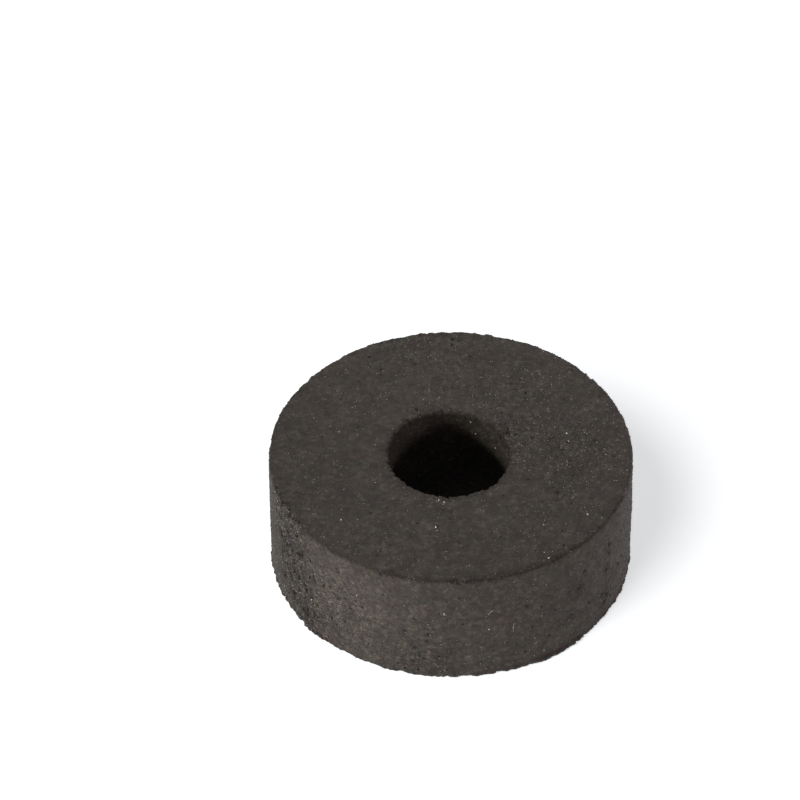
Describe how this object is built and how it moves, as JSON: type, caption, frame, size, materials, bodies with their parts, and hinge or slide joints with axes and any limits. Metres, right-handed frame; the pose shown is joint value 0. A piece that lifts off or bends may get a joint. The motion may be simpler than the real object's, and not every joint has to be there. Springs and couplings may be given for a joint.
{
  "type": "charcoal briquette",
  "caption": "Ring-shaped briquette of pressed charcoal with a round air hole through it, burnt as fuel in a grill or stove.",
  "frame": {"origin": "centre of the lower face that the ring rests on", "axes": "+Z along the axis of the ring and its air hole, from the lower face to the upper one; -Y points towards the camera of the picture"},
  "size_m": [0.0802, 0.0801, 0.0294],
  "materials": {
    "charcoal": "matte"
  },
  "bodies": {
    "root": {"briquette": "charcoal"}
  },
  "joints": []
}
